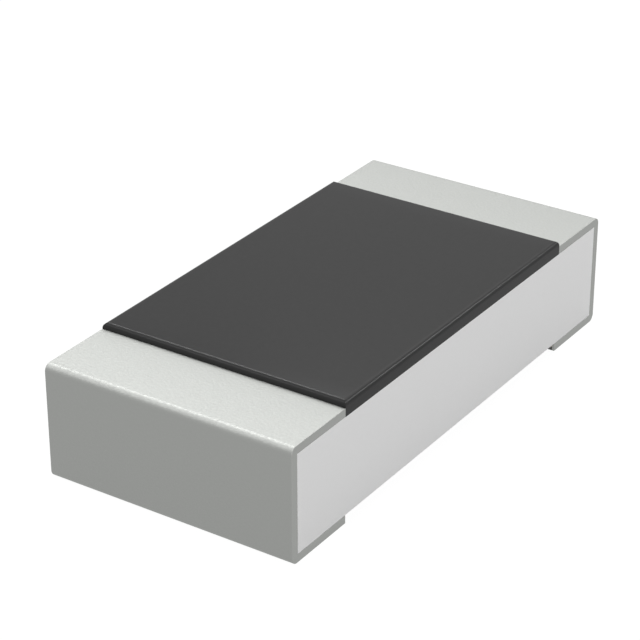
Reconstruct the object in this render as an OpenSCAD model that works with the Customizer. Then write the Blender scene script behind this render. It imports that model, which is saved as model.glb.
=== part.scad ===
// Surface-mount chip resistor: a ceramic block with a trimmed resistive film under a black coat
// and metal terminations folded round both ends.
// The long axis is X, the top faces +Z, and the origin lies under the middle at soldering level.

/* [Chip] */
// Length over both terminations
chip_length = 3.2; // [2.6:0.05:4]
// Width of the ceramic, the coat and the terminations
chip_width = 1.55; // [1.2:0.05:2.4]
// Thickness of the ceramic block
ceramic_thickness = 0.58; // [0.3:0.01:1]

/* [Terminations] */
// Reach of the metal over the top face, from the chip's end
top_flange_length = 0.483; // [0.3:0.001:0.7]
// Reach of the metal over the underside, from the chip's end
bottom_flange_length = 0.482; // [0.3:0.001:0.7]
// Radius of the rounded outer edges across the chip's ends
end_round = 0.042; // [0.03:0.001:0.1]
// Thickness of the printed silver pads on the top and the underside
pad_thickness = 0.015; // [0.008:0.001:0.03]
// Thickness of the end metal across the ceramic's end face
end_metal_thickness = 0.025; // [0.01:0.001:0.05]
// Thickness of the end metal where it laps over the printed pads
lap_thickness = 0.01; // [0.005:0.001:0.03]
// Thickness of the plated nickel
nickel_thickness = 0.01; // [0.005:0.001:0.02]
// Thickness of the plated tin
tin_thickness = 0.015; // [0.005:0.001:0.03]

/* [Resistor] */
// How far the top pads run on under the black coat
pad_run_on = 0.15; // [0.13:0.01:0.3]
// Thickness of the resistive film
film_thickness = 0.012; // [0.006:0.001:0.03]
// How far the film laps onto the top pads
film_lap = 0.09; // [0.04:0.01:0.11]
// Bare ceramic beside the film, on each side
film_margin = 0.175; // [0.05:0.005:0.3]
// Thickness of the glass over the film's laps, where it is thinnest
glass_thickness = 0.01; // [0.005:0.001:0.02]
// How far the glass reaches past the film all round
glass_border = 0.03; // [0.01:0.005:0.04]

/* [Trim cut] */
// Width of the cut
trim_kerf = 0.04; // [0.02:0.005:0.08]
// Width of film that the cut leaves whole
trim_bridge = 0.6; // [0.2:0.05:0.8]
// Length of the cut's leg along the chip
trim_leg = 0.35; // [0.1:0.05:0.4]
// Distance of the cut's entry from the chip's middle
trim_offset = 0.25; // [0:0.05:0.3]

/* [Coat] */
// Thickness of the black coat over the glass
coat_cover = 0.049; // [0.03:0.001:0.1]
// Radius of the coat's top edges
coat_round = 0.03; // [0.01:0.001:0.035]

/* [Hidden] */
$fn = 64;

// Depths below the outer metal surface
nickel_depth = tin_thickness;
end_metal_depth = nickel_depth + nickel_thickness;
pad_depth = end_metal_depth + lap_thickness;
flange_thickness = pad_depth + pad_thickness;
end_wall_thickness = end_metal_depth + end_metal_thickness;

// Heights above the soldering level
ceramic_bottom = flange_thickness;
ceramic_top = ceramic_bottom + ceramic_thickness;
ceramic_middle = ceramic_bottom + ceramic_thickness / 2;
metal_top = ceramic_top + flange_thickness;
pad_top = ceramic_top + pad_thickness;
film_top = pad_top + film_thickness;
glass_top = film_top + glass_thickness;
coat_top = glass_top + coat_cover;

// Distances from the chip's middle
chip_end = chip_length / 2;
ceramic_end = chip_end - end_wall_thickness;
coat_end = chip_end - top_flange_length;
bottom_flange_end = chip_end - bottom_flange_length;
pad_end = coat_end - pad_run_on;
film_end = pad_end + film_lap;
glass_end = film_end + glass_border;

// Widths
pad_width = chip_width - 2 * pad_depth;
film_width = chip_width - 2 * film_margin;
glass_width = film_width + 2 * glass_border;

// How far a cutting block stands past the faces that it opens
past = 0.1;

// The trim cut starts clear of the glass's -Y edge and ends where the whole film begins
trim_start = -glass_width / 2 - past;
trim_reach = film_width / 2 - trim_bridge - trim_start;
trim_height = glass_top + past - ceramic_top;

// A block between two X places and two heights, centred across the chip
module block(x_from, x_to, width, z_from, z_to) {
    translate([x_from, -width / 2, z_from])
        cube([x_to - x_from, width, z_to - z_from]);
}

// A block centred both ways
module centred_block(half_length, width, z_from, z_to) {
    block(-half_length, half_length, width, z_from, z_to);
}

// A profile drawn in X and Z, run across the chip
module across(width) {
    rotate([90, 0, 0])
        linear_extrude(height = width, center = true)
            children();
}

// A profile drawn in Y and Z, run along the chip
module along(length) {
    rotate([90, 0, 90])
        linear_extrude(height = length, center = true)
            children();
}

// A rectangle standing on the axis with both upper corners rounded
module round_topped(width, height, radius) {
    translate([-width / 2, 0])
        square([width, height - radius]);
    translate([radius - width / 2, 0])
        square([width - 2 * radius, height]);
    for (side = [-1, 1])
        translate([side * (width / 2 - radius), height - radius])
            circle(radius);
}

// Outline of the left termination, taken in by a depth from its outer surface.
// On the top it runs up to the coat at every depth.
module termination_outline(depth) {
    round = max(end_round - depth, 0);
    outer = depth - chip_end;
    inner = outer + round;
    low = depth;
    high = metal_top - depth;
    translate([inner, ceramic_middle])
        square([-coat_end - inner, high - ceramic_middle]);
    translate([inner, low])
        square([-bottom_flange_end - depth - inner, ceramic_middle - low]);
    if (round > 0) {
        translate([outer, low + round])
            square([round, high - low - 2 * round]);
        for (z = [low + round, high - round])
            translate([inner, z])
                circle(round);
    }
}

// Everything of the left end that lies deeper than a depth below the metal's outer surface
module termination_core(depth) {
    across(chip_width - 2 * depth)
        termination_outline(depth);
}

module ceramic_shape() {
    centred_block(ceramic_end, chip_width, ceramic_bottom, ceramic_top);
}

module top_pad_shape() {
    block(-ceramic_end, -pad_end, pad_width, ceramic_top, pad_top);
}

module bottom_pad_shape() {
    block(-ceramic_end, -bottom_flange_end - pad_depth, pad_width, pad_depth, ceramic_bottom);
}

module end_metal_shape() {
    difference() {
        termination_core(end_metal_depth);
        ceramic_shape();
        top_pad_shape();
        bottom_pad_shape();
    }
}

module nickel_shape() {
    difference() {
        termination_core(nickel_depth);
        termination_core(end_metal_depth);
        ceramic_shape();
    }
}

module tin_shape() {
    difference() {
        termination_core(0);
        termination_core(nickel_depth);
        ceramic_shape();
    }
}

module both_top_pads() {
    top_pad_shape();
    mirror([1, 0, 0])
        top_pad_shape();
}

// The L-shaped trim cut, from the film's edge inwards and then along the chip
module trim_cut() {
    entry = -trim_offset - trim_kerf / 2;
    translate([entry, trim_start, ceramic_top])
        cube([trim_kerf, trim_reach, trim_height]);
    translate([entry, trim_start + trim_reach - trim_kerf, ceramic_top])
        cube([trim_leg, trim_kerf, trim_height]);
}

// The film lies on the ceramic, climbs the pads' ends and laps over them
module film_shape() {
    hollow_end = pad_end - film_thickness;
    hollow_floor = ceramic_top + film_thickness;
    difference() {
        centred_block(film_end, film_width, ceramic_top, film_top);
        both_top_pads();
        centred_block(hollow_end, film_width + 2 * past, hollow_floor, film_top + past);
        trim_cut();
    }
}

// The glass fills the film's hollow and levels it
module glass_shape() {
    difference() {
        centred_block(glass_end, glass_width, ceramic_top, glass_top);
        both_top_pads();
        film_shape();
        trim_cut();
    }
}

// The coat's outer form, rounded along all four top edges
module coat_outer() {
    translate([0, 0, ceramic_top])
        intersection() {
            across(chip_width)
                round_topped(2 * coat_end, coat_top - ceramic_top, coat_round);
            along(2 * coat_end)
                round_topped(chip_width, coat_top - ceramic_top, coat_round);
        }
}

// Alumina block, cut square on all sides
module ceramic_substrate() {
    color("#cbcbcb")
        ceramic_shape();
}

// Thick film between the top pads, trimmed to its value
module resistive_film() {
    color("#2e2b2c")
        film_shape();
}

// Glass that guards the film while it is trimmed
module glass_undercoat() {
    color("#7d8a86")
        glass_shape();
}

// Black coat, flush with the ceramic's sides, which also fills the trim cut
module protective_overcoat() {
    color("#4e4e4e")
        difference() {
            coat_outer();
            both_top_pads();
            film_shape();
            glass_shape();
        }
}

// Printed silver pad on the left of the top face
module top_electrode_left() {
    color("#c9c7c0")
        top_pad_shape();
}

// Printed silver pad on the right of the top face
module top_electrode_right() {
    color("#c9c7c0")
        mirror([1, 0, 0])
            top_pad_shape();
}

// Printed silver pad on the left of the underside
module bottom_electrode_left() {
    color("#c9c7c0")
        bottom_pad_shape();
}

// Printed silver pad on the right of the underside
module bottom_electrode_right() {
    color("#c9c7c0")
        mirror([1, 0, 0])
            bottom_pad_shape();
}

// Metal across the left end face, lapped over both pads
module end_electrode_left() {
    color("#a39d92")
        end_metal_shape();
}

// Metal across the right end face, lapped over both pads
module end_electrode_right() {
    color("#a39d92")
        mirror([1, 0, 0])
            end_metal_shape();
}

// Plated nickel of the left termination
module nickel_barrier_left() {
    color("#b3ada0")
        nickel_shape();
}

// Plated nickel of the right termination
module nickel_barrier_right() {
    color("#b3ada0")
        mirror([1, 0, 0])
            nickel_shape();
}

// Plated tin of the left termination, the metal that shows
module tin_plating_left() {
    color("#939592")
        tin_shape();
}

// Plated tin of the right termination, the metal that shows
module tin_plating_right() {
    color("#939592")
        mirror([1, 0, 0])
            tin_shape();
}

ceramic_substrate();
resistive_film();
glass_undercoat();
protective_overcoat();
top_electrode_left();
top_electrode_right();
bottom_electrode_left();
bottom_electrode_right();
end_electrode_left();
end_electrode_right();
nickel_barrier_left();
nickel_barrier_right();
tin_plating_left();
tin_plating_right();
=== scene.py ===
"""Looks of a surface-mount chip resistor: alumina block, black printed coat, matte tinned terminations."""
import math

import bmesh
import bpy
import numpy as np
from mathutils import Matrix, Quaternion, Vector

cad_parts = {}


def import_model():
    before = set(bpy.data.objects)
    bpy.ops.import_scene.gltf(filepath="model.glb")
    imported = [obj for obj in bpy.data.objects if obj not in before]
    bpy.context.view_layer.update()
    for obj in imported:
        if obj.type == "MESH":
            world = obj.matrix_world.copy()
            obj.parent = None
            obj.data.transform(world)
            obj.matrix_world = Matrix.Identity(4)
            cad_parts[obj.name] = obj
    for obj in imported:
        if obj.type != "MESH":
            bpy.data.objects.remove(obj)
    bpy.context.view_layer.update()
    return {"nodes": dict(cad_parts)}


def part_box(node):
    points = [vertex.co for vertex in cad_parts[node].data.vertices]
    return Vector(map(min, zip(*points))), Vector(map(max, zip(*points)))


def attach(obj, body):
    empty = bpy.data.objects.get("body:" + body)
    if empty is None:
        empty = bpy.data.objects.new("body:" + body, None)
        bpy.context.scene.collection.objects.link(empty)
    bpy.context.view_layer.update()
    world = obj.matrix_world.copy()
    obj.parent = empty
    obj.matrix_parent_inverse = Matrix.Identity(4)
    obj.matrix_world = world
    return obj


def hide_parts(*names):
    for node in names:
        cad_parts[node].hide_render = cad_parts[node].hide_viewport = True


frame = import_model()

MM = 0.001

# Rounded edges, in metres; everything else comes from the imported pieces
END_ROUND = 0.042 * MM
COAT_ROUND = 0.03 * MM
ARC_STEPS = 12
EDGE_EASE = 0.002 * MM
EASE_STEPS = 2
EASE_ANGLE = math.radians(50)
SHARP_ANGLE = math.radians(40)
CERAMIC_CORNER = EDGE_EASE / 4

# Points this close together are one, and a nudge this small tells the two sides of a step
MERGE_DISTANCE = 1e-4 * MM
SAME_PLACE = 1e-6 * MM
NUDGE = 1e-5 * MM

# The trim cut under the coat, which no packed box gives
TRIM_KERF = 0.04 * MM
TRIM_ENTRY = -0.27 * MM
TRIM_LEG = 0.35 * MM
TRIM_END_Y = 0.0

# Camera, in metres, from the photograph's view of the chip's edges
CAMERA_PLACE = Vector((-9.5615, -6.2598, 6.446)) * MM
CAMERA_AIM = Vector((0.1074, 0.1971, 0.3649)) * MM
CAMERA_ROLL = math.radians(-0.102)
CAMERA_LENS = 130.29
SENSOR_WIDTH = 36.0
CLIP_NEAR = 0.5 * MM
CLIP_FAR = 1000 * MM

# Grain of the finishes, in metres: real grains are a few thousandths of a millimetre wide,
# and these are drawn several times coarser so that they show
TIN_CRYSTAL = 0.017 * MM
TIN_RELIEF = 0.0013 * MM
ALUMINA_GRAIN = 0.02 * MM
ALUMINA_RELIEF = 0.0002 * MM
EPOXY_SPECK = 0.03 * MM

# Stage: lengths in metres, and brightness where 1 is white. The floor lies just under the chip,
# so that no two faces coincide.
FLOOR_SIZE = 240 * MM
FLOOR_DROP = 0.001 * MM
FLOOR_LIFT = 0.85
FLOOR_WHITE = 1.14
WORLD_WHITE = 1.0
WORLD_FILL = 0.22

# Lamps: bearing and height in degrees, width and height in mm, and radiance
LAMP_DISTANCE = 60 * MM
LAMPS = {
    # The bright line along the near rounded end
    "near_edge_light": (58, 54, 11, 14, 23.0),
    # The near flange
    "flange_light": (42, 47, 11, 20, 2.6),
    # The fine line along the coat's side rim
    "side_edge_light": (-34, 27, 12, 8, 21.0),
    # Both flanges
    "right_back_light": (12, 46, 44, 26, 2.4),
    # The coat's top and the upper half of the near rounded end
    "overhead_light": (108, 55, 48, 34, 1.6),
    # The coat's near rim and the lower half of the near rounded end
    "coat_rim_light": (136, 44, 14, 16, 4.8),
    # The ceramic's long side
    "side_light": (-80, 14, 60, 24, 0.95),
    # The ceramic's long side and the near end
    "front_light": (-130, 22, 60, 30, 2.05),
}


def linear(hex_colour):
    """Linear RGBA of an sRGB hex colour."""
    srgb = np.array([int(hex_colour[i:i + 2], 16) for i in (1, 3, 5)]) / 255
    rgb = np.where(srgb <= 0.04045, srgb / 12.92, ((srgb + 0.055) / 1.055) ** 2.4)
    return (*rgb, 1.0)


def add_node(tree, kind, settings=None, inputs=None):
    """Add a node, set its properties, and set or link its inputs by name or number."""
    node = tree.nodes.new(kind)
    for name, value in (settings or {}).items():
        setattr(node, name, value)
    for name, value in (inputs or {}).items():
        if isinstance(value, bpy.types.NodeSocket):
            tree.links.new(value, node.inputs[name])
        else:
            node.inputs[name].default_value = value
    return node


# Meshes

def make_piece(name, vertices, faces, node, material):
    """A closed mesh with merged corners and outward faces, standing for one CAD node."""
    mesh = bpy.data.meshes.new(name)
    mesh.from_pydata(vertices, [], faces)
    shell = bmesh.new()
    shell.from_mesh(mesh)
    bmesh.ops.remove_doubles(shell, verts=shell.verts, dist=MERGE_DISTANCE)
    bmesh.ops.recalc_face_normals(shell, faces=shell.faces)
    shell.to_mesh(mesh)
    shell.free()
    mesh.shade_smooth()
    mesh.set_sharp_from_angle(angle=SHARP_ANGLE)
    piece = bpy.data.objects.new(name, mesh)
    bpy.context.scene.collection.objects.link(piece)
    mesh.materials.append(material)
    ease = piece.modifiers.new("eased_edges", "BEVEL")
    ease.width = EDGE_EASE
    ease.segments = EASE_STEPS
    ease.limit_method = "ANGLE"
    ease.angle_limit = EASE_ANGLE
    ease.use_clamp_overlap = True
    piece.modifiers.new("flat_faces", "WEIGHTED_NORMAL").keep_sharp = True
    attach(piece, "root")
    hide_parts(node)
    return piece


def grid_faces(rows, columns, start=0):
    """Quads between neighbouring rows and columns of a grid of vertices numbered row by row."""
    i, j = np.meshgrid(np.arange(rows - 1), np.arange(columns - 1), indexing="ij")
    a = (start + i * columns + j).ravel()
    return np.stack([a, a + 1, a + columns + 1, a + columns], axis=1)


def quarter(steps):
    """Sine and cosine over a quarter turn."""
    turn = np.linspace(0, math.pi / 2, steps + 1)
    return np.sin(turn), np.cos(turn)


def folded_path(outer_x, end_x_top, end_x_bottom, low, high, radius):
    """Path in X and Z that runs in along the top, down the outer end and back under the bottom,
    with a quarter circle of the radius at both outer corners."""
    sine, cosine = quarter(ARC_STEPS)
    centre_x = outer_x + radius
    top = np.stack([centre_x - radius * sine, high - radius + radius * cosine], axis=1)
    bottom = np.stack([centre_x - radius * cosine, low + radius - radius * sine], axis=1)
    return np.concatenate([[[end_x_top, high]], top, bottom, [[end_x_bottom, low]]])


def termination(name, node, inner_node, side, material):
    """The tin of one end: a C-shaped band whose outer path is the chip's outline and whose inner path
    is the nickel's outline, but the ceramic's within the thin skirts that close it at both sides.
    The closed section of outer and inner path is carried across the chip through six stations.
    The side is 1 for the end at -X, and -1 mirrors it to the end at +X."""
    low, high = (np.array(corner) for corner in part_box(node))
    in_low, in_high = (np.array(corner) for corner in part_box(inner_node))
    ceramic_low, ceramic_high = (np.array(corner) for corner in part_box("ceramic_substrate"))
    outer_x = np.abs([low[0], high[0]]).max()
    inner_x = np.abs([in_low[0], in_high[0]]).max()
    flange_x = np.abs([low[0], high[0]]).min()
    depth = outer_x - inner_x
    outer = folded_path(-outer_x, -flange_x, -flange_x, low[2], high[2], END_ROUND)
    on_nickel = folded_path(
        -inner_x, -flange_x, -flange_x - depth, in_low[2], in_high[2], END_ROUND - depth
    )
    on_ceramic = folded_path(
        -ceramic_high[0], -flange_x, -flange_x, ceramic_low[2], ceramic_high[2], CERAMIC_CORNER
    )
    skirt = np.concatenate([outer, on_ceramic[::-1]])
    band = np.concatenate([outer, on_nickel[::-1]])
    stations = [
        (low[1], skirt), (in_low[1], skirt), (in_low[1], band),
        (in_high[1], band), (in_high[1], skirt), (high[1], skirt),
    ]
    count = len(skirt)
    rings = [np.stack([side * ring[:, 0], np.full(count, y), ring[:, 1]], axis=1) for y, ring in stations]
    vertices = np.concatenate(rings)
    closed = np.append(np.arange(count), 0)
    walls = grid_faces(len(stations), count + 1)
    lookup = (np.arange(len(stations))[:, None] * count + closed[None, :]).ravel()
    faces = lookup[walls].tolist()
    half = count // 2
    first = np.arange(half - 1)
    cap = np.stack([first, first + 1, count - 2 - first, count - 1 - first], axis=1)
    faces += cap.tolist()
    faces += (cap + (len(stations) - 1) * count).tolist()
    return make_piece(name, vertices, faces, node, material)


def stepped_slab(name, xs, ys, top, bottom, node, material):
    """A slab over a grid of X and Y places: a top height and a bottom height at each place, with walls
    round the rim. A place that is given twice makes a vertical step. Each cell is split along the
    diagonal that points to the middle, so that mitred edges stay straight."""
    rows, columns = top.shape
    x, y = np.meshgrid(xs, ys, indexing="ij")
    vertices = np.concatenate([
        np.stack([x, y, top], axis=2).reshape(-1, 3),
        np.stack([x, y, bottom], axis=2).reshape(-1, 3),
    ])
    quads = grid_faces(rows, columns)
    middle = vertices[quads].mean(axis=1)
    inward = (middle[:, 0] * middle[:, 1]) > 0
    one, two, three, four = quads.T
    split = np.concatenate([
        np.stack([one, two, three], axis=1)[inward], np.stack([one, three, four], axis=1)[inward],
        np.stack([one, two, four], axis=1)[~inward], np.stack([two, three, four], axis=1)[~inward],
    ])
    under = quads + rows * columns
    number = np.arange(rows * columns).reshape(rows, columns)
    rim = np.concatenate([number[0], number[1:, -1], number[-1, -2::-1], number[-2::-1, 0]])
    walls = np.stack([rim[:-1], rim[1:], rim[1:] + rows * columns, rim[:-1] + rows * columns], axis=1)
    faces = split.tolist() + under.tolist() + walls.tolist()
    return make_piece(name, vertices, faces, node, material)


def coat_stations(reach, steps_at):
    """Places from one rim to the other: close together over the rounded rims, and twice at each step."""
    sine, cosine = quarter(ARC_STEPS)
    rim = reach - COAT_ROUND + COAT_ROUND * sine
    places = [-rim[::-1], rim, np.repeat(steps_at, 2)]
    return np.sort(np.concatenate(places))


def rim_height(places, reach, top):
    """Height of the coat's top over places across it: level, then a quarter circle down at each rim."""
    out = np.clip(np.abs(places) - (reach - COAT_ROUND), 0, COAT_ROUND)
    return top - COAT_ROUND + np.sqrt(COAT_ROUND ** 2 - out ** 2)


def sides_of_steps(places):
    """The places, with each of a pair nudged to its own side, for asking what lies there."""
    paired = np.isclose(np.diff(places), 0, atol=SAME_PLACE)
    later = np.append(False, paired)
    sooner = np.append(paired, False)
    return places + NUDGE * later - NUDGE * sooner


def overcoat(material):
    """The black coat: its top is the lower of two rounded profiles, one along and one across the chip,
    and its underside lies on the ceramic, the pads and the glass, and fills the trim cut."""
    low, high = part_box("protective_overcoat")
    glass_low, glass_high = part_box("glass_undercoat")
    pad_low, pad_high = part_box("top_electrode_right")
    kerf_x = (TRIM_ENTRY, TRIM_ENTRY + TRIM_KERF, TRIM_ENTRY + TRIM_LEG)
    kerf_y = (TRIM_END_Y - TRIM_KERF, TRIM_END_Y)
    xs = coat_stations(high.x, [-glass_high.x, -pad_low.x, *kerf_x, pad_low.x, glass_high.x])
    ys = coat_stations(high.y, [-pad_high.y, -glass_high.y, *kerf_y, glass_high.y, pad_high.y])
    top = np.minimum(rim_height(xs, high.x, high.z)[:, None], rim_height(ys, high.y, high.z)[None, :])
    x, y = np.meshgrid(sides_of_steps(xs), sides_of_steps(ys), indexing="ij")
    over_pad = (np.abs(x) > pad_low.x) & (np.abs(y) < pad_high.y)
    over_glass = (np.abs(x) < glass_high.x) & (np.abs(y) < glass_high.y)
    entry = (x > kerf_x[0]) & (x < kerf_x[1]) & (y < kerf_y[1])
    leg = (x > kerf_x[0]) & (x < kerf_x[2]) & (y > kerf_y[0]) & (y < kerf_y[1])
    bottom = np.full(x.shape, low.z)
    bottom[over_pad] = pad_high.z
    bottom[over_glass] = glass_high.z
    bottom[over_glass & (entry | leg)] = low.z
    return stepped_slab(
        "printed_overcoat", xs, ys, top, bottom, "protective_overcoat", material
    )


def alumina_block(material):
    """The ceramic: a slab with level top and bottom over the corners of its box."""
    low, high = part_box("ceramic_substrate")
    xs = np.array([low.x, high.x])
    ys = np.array([low.y, high.y])
    top = np.full((2, 2), high.z)
    bottom = np.full((2, 2), low.z)
    return stepped_slab(
        "alumina_block", xs, ys, top, bottom, "ceramic_substrate", material
    )


# Materials

def new_material(name):
    """An empty node material with its tree."""
    material = bpy.data.materials.new(name)
    material.use_nodes = True
    material.node_tree.nodes.clear()
    return material, material.node_tree


def matte_tin():
    """Matte electroplated tin: a grey metal whose fine crystals blur what it mirrors, and whose relief
    shows as a soft stipple where a lamp grazes it."""
    material, tree = new_material("matte_tin_plating")
    place = add_node(tree, "ShaderNodeTexCoord")
    crystals = add_node(tree, "ShaderNodeTexNoise", inputs={
        "Vector": place.outputs["Object"], "Scale": 1 / TIN_CRYSTAL, "Detail": 2.0})
    colour = add_node(tree, "ShaderNodeMix", {"data_type": "RGBA"}, {
        0: crystals.outputs["Fac"], 6: linear("#939592"), 7: linear("#999a98")})
    roughness = add_node(tree, "ShaderNodeMapRange", inputs={
        "Value": crystals.outputs["Fac"], "From Min": 0.3, "From Max": 0.7, "To Min": 0.5, "To Max": 0.58})
    relief = add_node(tree, "ShaderNodeBump", inputs={
        "Height": crystals.outputs["Fac"], "Distance": TIN_RELIEF, "Strength": 1.0})
    shader = add_node(tree, "ShaderNodeBsdfPrincipled", inputs={
        "Base Color": colour.outputs[2],
        "Metallic": 1.0,
        "Roughness": roughness.outputs["Result"],
        "Normal": relief.outputs["Normal"],
    })
    add_node(tree, "ShaderNodeOutputMaterial", inputs={"Surface": shader.outputs[0]})
    return material


def sintered_alumina():
    """Fired alumina, snapped from a sheet: an even, chalky off-white with a very fine grain."""
    material, tree = new_material("sintered_alumina")
    place = add_node(tree, "ShaderNodeTexCoord")
    grains = add_node(tree, "ShaderNodeTexNoise", inputs={
        "Vector": place.outputs["Object"], "Scale": 1 / ALUMINA_GRAIN, "Detail": 3.0})
    colour = add_node(tree, "ShaderNodeMix", {"data_type": "RGBA"}, {
        0: grains.outputs["Fac"], 6: linear("#eeeeee"), 7: linear("#f1f1f1")})
    roughness = add_node(tree, "ShaderNodeMapRange", inputs={
        "Value": grains.outputs["Fac"], "From Min": 0.3, "From Max": 0.7, "To Min": 0.6, "To Max": 0.7})
    relief = add_node(tree, "ShaderNodeBump", inputs={
        "Height": grains.outputs["Fac"], "Distance": ALUMINA_RELIEF, "Strength": 1.0})
    shader = add_node(tree, "ShaderNodeBsdfPrincipled", inputs={
        "Base Color": colour.outputs[2],
        "Roughness": roughness.outputs["Result"],
        "Specular IOR Level": 0.05,
        "Normal": relief.outputs["Normal"],
    })
    add_node(tree, "ShaderNodeOutputMaterial", inputs={"Surface": shader.outputs[0]})
    return material


def black_epoxy():
    """Screen-printed black epoxy, cured: an even charcoal skin with a soft gloss that shows as fine
    light lines along its rims."""
    material, tree = new_material("black_epoxy_coat")
    place = add_node(tree, "ShaderNodeTexCoord")
    specks = add_node(tree, "ShaderNodeTexNoise", inputs={
        "Vector": place.outputs["Object"], "Scale": 1 / EPOXY_SPECK, "Detail": 3.0})
    colour = add_node(tree, "ShaderNodeMix", {"data_type": "RGBA"}, {
        0: specks.outputs["Fac"], 6: linear("#373737"), 7: linear("#393939")})
    roughness = add_node(tree, "ShaderNodeMapRange", inputs={
        "Value": specks.outputs["Fac"], "From Min": 0.3, "From Max": 0.7, "To Min": 0.18, "To Max": 0.22})
    shader = add_node(tree, "ShaderNodeBsdfPrincipled", inputs={
        "Base Color": colour.outputs[2],
        "Roughness": roughness.outputs["Result"],
        "Specular IOR Level": 0.055,
    })
    add_node(tree, "ShaderNodeOutputMaterial", inputs={"Surface": shader.outputs[0]})
    return material


def hidden_layer(name, dark, light, grain_mm, metallic, roughness):
    """A layer inside the chip: two close tones spread by a fine grain, which also roughens it."""
    material, tree = new_material(name)
    place = add_node(tree, "ShaderNodeTexCoord")
    grains = add_node(tree, "ShaderNodeTexNoise", inputs={
        "Vector": place.outputs["Object"], "Scale": 1 / (grain_mm * MM), "Detail": 3.0})
    colour = add_node(tree, "ShaderNodeMix", {"data_type": "RGBA"}, {
        0: grains.outputs["Fac"], 6: linear(dark), 7: linear(light)})
    spread = add_node(tree, "ShaderNodeMapRange", inputs={
        "Value": grains.outputs["Fac"], "From Min": 0.3, "From Max": 0.7,
        "To Min": roughness - 0.06, "To Max": roughness + 0.06})
    shader = add_node(tree, "ShaderNodeBsdfPrincipled", inputs={
        "Base Color": colour.outputs[2],
        "Metallic": metallic,
        "Roughness": spread.outputs["Result"],
    })
    add_node(tree, "ShaderNodeOutputMaterial", inputs={"Surface": shader.outputs[0]})
    return material


# Stage

def seen_directly(tree):
    """1 for camera, glossy and transmission rays, else 0."""
    path = add_node(tree, "ShaderNodeLightPath")
    mirrored = add_node(tree, "ShaderNodeMath", {"operation": "MAXIMUM"}, {
        0: path.outputs["Is Glossy Ray"], 1: path.outputs["Is Transmission Ray"]})
    return add_node(tree, "ShaderNodeMath", {"operation": "MAXIMUM"}, {
        0: path.outputs["Is Camera Ray"], 1: mirrored.outputs[0]})


def floor():
    """A pale floor that looks white and keeps a faint shadow."""
    half = FLOOR_SIZE / 2
    level = -FLOOR_DROP
    corners = [(-half, -half, level), (half, -half, level), (half, half, level), (-half, half, level)]
    mesh = bpy.data.meshes.new("floor")
    mesh.from_pydata(corners, [], [(0, 1, 2, 3)])
    plane = bpy.data.objects.new("floor", mesh)
    bpy.context.scene.collection.objects.link(plane)
    material, tree = new_material("white_paper_floor")
    share = add_node(tree, "ShaderNodeMath", {"operation": "MULTIPLY"}, {
        0: seen_directly(tree).outputs[0], 1: FLOOR_LIFT})
    paper = add_node(tree, "ShaderNodeBsdfDiffuse", inputs={"Color": linear("#acacac")})
    glow = add_node(tree, "ShaderNodeEmission", inputs={
        "Color": linear("#ffffff"), "Strength": FLOOR_WHITE})
    shader = add_node(tree, "ShaderNodeMixShader", inputs={
        0: share.outputs[0], 1: paper.outputs[0], 2: glow.outputs[0]})
    add_node(tree, "ShaderNodeOutputMaterial", inputs={"Surface": shader.outputs[0]})
    material.cycles.emission_sampling = "NONE"
    mesh.materials.append(material)


def world():
    """White where it is seen or mirrored, and a softer fill as light."""
    sky = bpy.data.worlds.new("studio")
    sky.use_nodes = True
    tree = sky.node_tree
    tree.nodes.clear()
    strength = add_node(tree, "ShaderNodeMath", {"operation": "MULTIPLY_ADD"}, {
        0: seen_directly(tree).outputs[0], 1: WORLD_WHITE - WORLD_FILL, 2: WORLD_FILL})
    light = add_node(tree, "ShaderNodeBackground", inputs={
        "Color": linear("#ffffff"), "Strength": strength.outputs[0]})
    add_node(tree, "ShaderNodeOutputWorld", inputs={"Surface": light.outputs[0]})
    sky.cycles.sampling_method = "NONE"
    bpy.context.scene.world = sky


def softbox(name, azimuth, elevation, width_mm, height_mm, radiance):
    """An area lamp aimed at the chip from a bearing (0 is +X, 90 is +Y) and a height in degrees,
    with the brightness of its face given as a radiance."""
    lamp = bpy.data.lights.new(name, "AREA")
    lamp.shape = "RECTANGLE"
    lamp.size = width_mm * MM
    lamp.size_y = height_mm * MM
    lamp.energy = radiance * math.pi * lamp.size * lamp.size_y
    bearing, height = math.radians(azimuth), math.radians(elevation)
    direction = Vector((
        math.cos(height) * math.cos(bearing), math.cos(height) * math.sin(bearing), math.sin(height)))
    item = bpy.data.objects.new(name, lamp)
    item.location = direction * LAMP_DISTANCE
    item.rotation_mode = "QUATERNION"
    item.rotation_quaternion = (-direction).to_track_quat("-Z", "Y")
    item.visible_camera = False
    bpy.context.scene.collection.objects.link(item)


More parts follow.
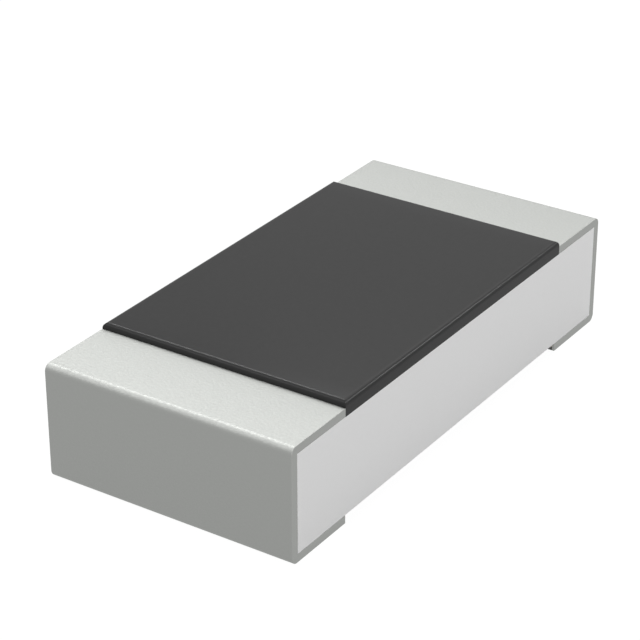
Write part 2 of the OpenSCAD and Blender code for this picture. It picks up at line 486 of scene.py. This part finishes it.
def camera():
    """The photograph's view."""
    data = bpy.data.cameras.new("camera")
    data.lens = CAMERA_LENS
    data.sensor_width = SENSOR_WIDTH
    data.clip_start = CLIP_NEAR
    data.clip_end = CLIP_FAR
    item = bpy.data.objects.new("camera", data)
    item.location = CAMERA_PLACE
    item.rotation_mode = "QUATERNION"
    level = (CAMERA_AIM - CAMERA_PLACE).to_track_quat("-Z", "Y")
    item.rotation_quaternion = level @ Quaternion((0, 0, 1), CAMERA_ROLL)
    bpy.context.scene.collection.objects.link(item)
    bpy.context.scene.camera = item


tin = matte_tin()
termination("tinned_end_left", "tin_plating_left", "nickel_barrier_left", 1, tin)
termination("tinned_end_right", "tin_plating_right", "nickel_barrier_right", -1, tin)
overcoat(black_epoxy())
alumina_block(sintered_alumina())

# The sealed layers: their material, its two tones, grain in mm, metal share and roughness,
# and the pieces that are made of it
HIDDEN_LAYERS = (
    # Fired silver paste, a pale and dull metal
    (("fired_silver_paste", "#c2c0b9", "#d0cec7", 0.01, 1.0, 0.5),
     ("top_electrode_left", "top_electrode_right", "bottom_electrode_left", "bottom_electrode_right")),
    # Silver-filled resin, a darker and warmer metal
    (("silver_filled_resin", "#989287", "#a8a297", 0.01, 1.0, 0.45),
     ("end_electrode_left", "end_electrode_right")),
    # Electroplated nickel, a yellowish satin metal
    (("electroplated_nickel", "#aaa497", "#b8b2a5", 0.008, 1.0, 0.35),
     ("nickel_barrier_left", "nickel_barrier_right")),
    # Fired ruthenium oxide paste, dull and nearly black
    (("ruthenium_oxide_film", "#232122", "#2e2b2c", 0.02, 0.0, 0.6), ("resistive_film",)),
    # Fired lead-free glass paste, a glossy grey green
    (("fired_glass_paste", "#6f7c78", "#7d8a86", 0.05, 0.0, 0.2), ("glass_undercoat",)),
)
for look, layers in HIDDEN_LAYERS:
    layer_material = hidden_layer(*look)
    for layer in layers:
        frame["nodes"][layer].data.materials.clear()
        frame["nodes"][layer].data.materials.append(layer_material)

floor()
world()
for lamp_name, lamp_setting in LAMPS.items():
    softbox(lamp_name, *lamp_setting)
camera()
bpy.context.scene.view_settings.view_transform = "Standard"
